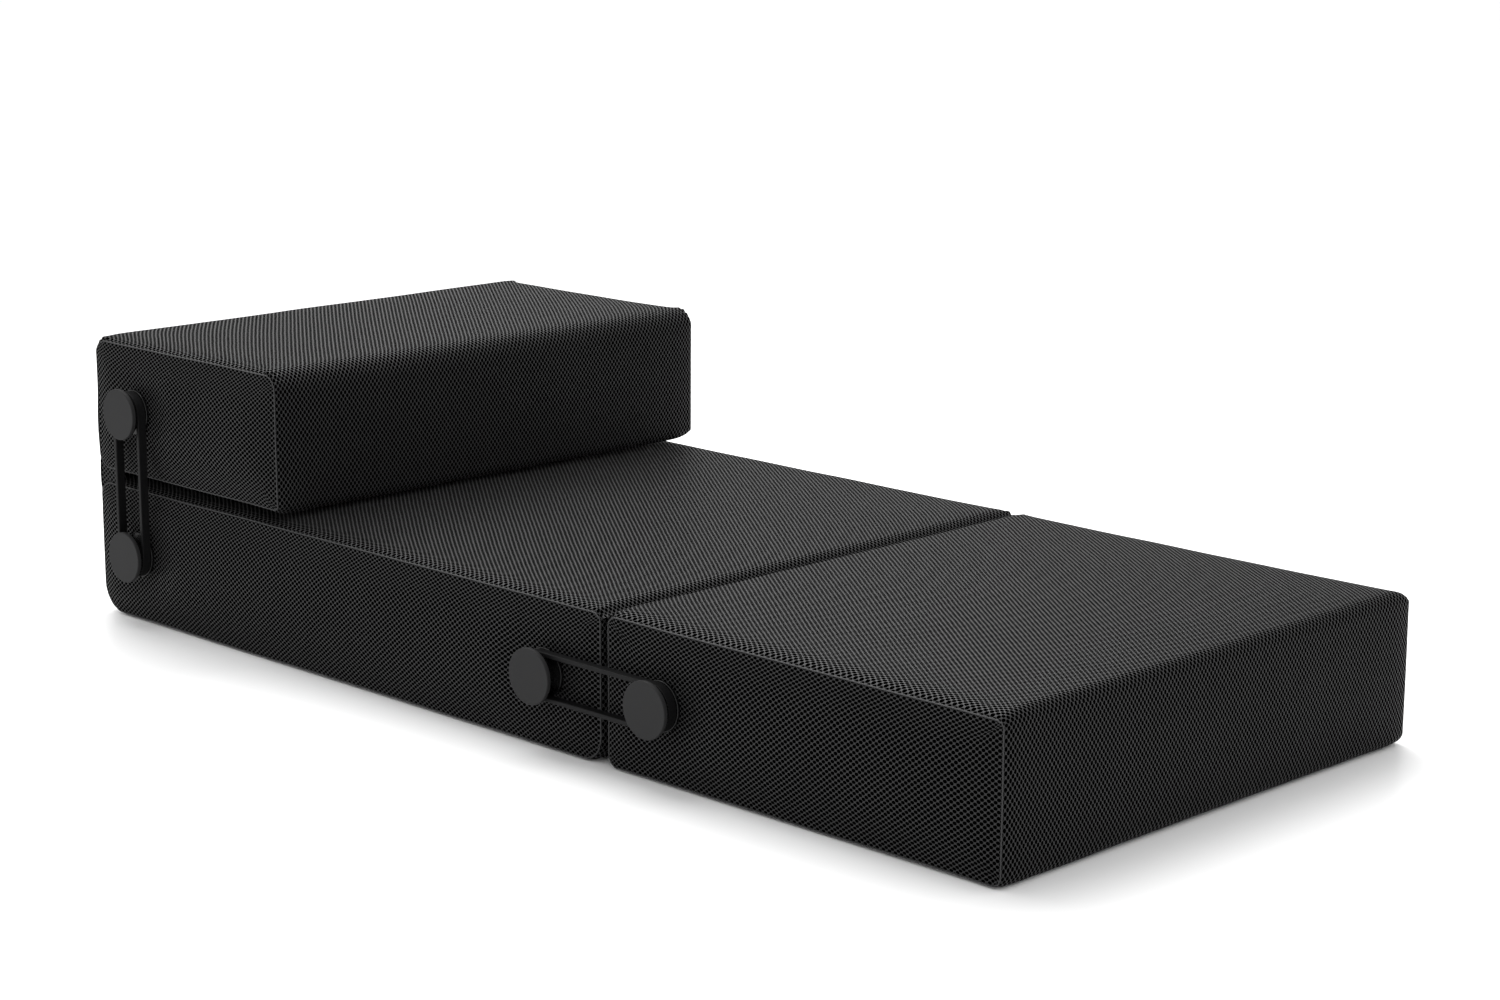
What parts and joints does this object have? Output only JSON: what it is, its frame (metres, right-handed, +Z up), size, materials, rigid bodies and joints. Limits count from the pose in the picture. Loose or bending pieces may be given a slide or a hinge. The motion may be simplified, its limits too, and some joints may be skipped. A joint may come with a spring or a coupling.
{
  "type": "foam block sofa bed",
  "caption": "Low sofa bed of hinged foam blocks in dark spacer mesh covers; elastic loops round side knobs hold each fold as pouf, chaise or flat bed.",
  "frame": {"origin": "on the floor, in the middle of the footprint with the head block folded on the base", "axes": "+X to the right seen from the foot end, +Y from the foot end to the head end, +Z up"},
  "size_m": [0.841, 1.701, 0.406],
  "materials": {
    "foam": "matte",
    "spacer_mesh": "matte",
    "hinge_fabric": "matte",
    "zip_tape": "matte",
    "zip_metal": "satin",
    "cap_plastic": "matte",
    "spool_plastic": "satin",
    "anchor_plastic": "matte",
    "screw_steel": "satin",
    "loop_rubber": "matte"
  },
  "bodies": {
    "base": {"base_cover_underside": "spacer_mesh", "base_cover_wrap": "spacer_mesh", "base_foam_core": "foam", "base_front_knob_anchor_left": "anchor_plastic", "base_front_knob_anchor_right": "anchor_plastic", "base_front_knob_cap_left": "cap_plastic", "base_front_knob_cap_right": "cap_plastic", "base_front_knob_spool_left": "spool_plastic", "base_front_knob_spool_right": "spool_plastic", "base_knob_screws": "screw_steel", "base_rear_knob_anchor_left": "anchor_plastic", "base_rear_knob_anchor_right": "anchor_plastic", "base_rear_knob_cap_left": "cap_plastic", "base_rear_knob_cap_right": "cap_plastic", "base_rear_knob_spool_left": "spool_plastic", "base_rear_knob_spool_right": "spool_plastic", "base_side_panel_left": "spacer_mesh", "base_side_panel_right": "spacer_mesh", "base_zip_tape": "zip_tape", "foot_fold_web": "hinge_fabric", "head_fold_web": "hinge_fabric"},
    "head": {"head_cover_underside": "spacer_mesh", "head_cover_wrap": "spacer_mesh", "head_foam_core": "foam", "head_knob_anchor_left": "anchor_plastic", "head_knob_anchor_right": "anchor_plastic", "head_knob_cap_left": "cap_plastic", "head_knob_cap_right": "cap_plastic", "head_knob_screws": "screw_steel", "head_knob_spool_left": "spool_plastic", "head_knob_spool_right": "spool_plastic", "head_side_panel_left": "spacer_mesh", "head_side_panel_right": "spacer_mesh", "head_zip_tape": "zip_tape"},
    "foot": {"foot_cover_underside": "spacer_mesh", "foot_cover_wrap": "spacer_mesh", "foot_foam_core": "foam", "foot_knob_anchor_left": "anchor_plastic", "foot_knob_anchor_right": "anchor_plastic", "foot_knob_cap_left": "cap_plastic", "foot_knob_cap_right": "cap_plastic", "foot_knob_screws": "screw_steel", "foot_knob_spool_left": "spool_plastic", "foot_knob_spool_right": "spool_plastic", "foot_side_panel_left": "spacer_mesh", "foot_side_panel_right": "spacer_mesh", "foot_zip_tape": "zip_tape"},
    "head_fold_loops": {"head_fold_loop_left": "loop_rubber", "head_fold_loop_right": "loop_rubber"},
    "foot_fold_loops": {"foot_fold_loop_left": "loop_rubber", "foot_fold_loop_right": "loop_rubber"},
    "base_zip_slider": {"base_zip_slider": "zip_metal"},
    "head_zip_slider": {"head_zip_slider": "zip_metal"},
    "foot_zip_slider": {"foot_zip_slider": "zip_metal"}
  },
  "joints": [
    {"name": "head_fold", "type": "hinge", "parent": "base", "child": "head", "pos_m": [0, 0.8535, 0.203], "axis": [-1, 0, 0], "range_deg": [0, 180], "deforming": ["head_fold_web"]},
    {"name": "foot_fold", "type": "hinge", "parent": "base", "child": "foot", "pos_m": [0, -0.2175, 0.203], "axis": [-1, 0, 0], "range_deg": [0, 180], "deforming": ["foot_fold_web"]},
    {"name": "head_fold_loop_turn", "type": "hinge", "parent": "base", "child": "head_fold_loops", "pos_m": [0, 0.7505, 0.1], "axis": [-1, 0, 0], "range_deg": [0, 90], "deforming": ["head_fold_loop_left", "head_fold_loop_right"]},
    {"name": "foot_fold_loop_turn", "type": "hinge", "parent": "base", "child": "foot_fold_loops", "pos_m": [0, -0.1145, 0.1], "axis": [-1, 0, 0], "range_deg": [0, 90], "deforming": ["foot_fold_loop_left", "foot_fold_loop_right"]},
    {"name": "base_zip", "type": "slide", "parent": "base", "child": "base_zip_slider", "axis": [1, 0, 0], "range_m": [0, 0.608]},
    {"name": "head_zip", "type": "slide", "parent": "head", "child": "head_zip_slider", "axis": [1, 0, 0], "range_m": [0, 0.608]},
    {"name": "foot_zip", "type": "slide", "parent": "foot", "child": "foot_zip_slider", "axis": [1, 0, 0], "range_m": [0, 0.608]}
  ],
  "couplings": [
    {"joint": "head_fold_loop_turn", "follows": "head_fold", "ratio": 0.5},
    {"joint": "foot_fold_loop_turn", "follows": "foot_fold", "ratio": 0.5}
  ]
}
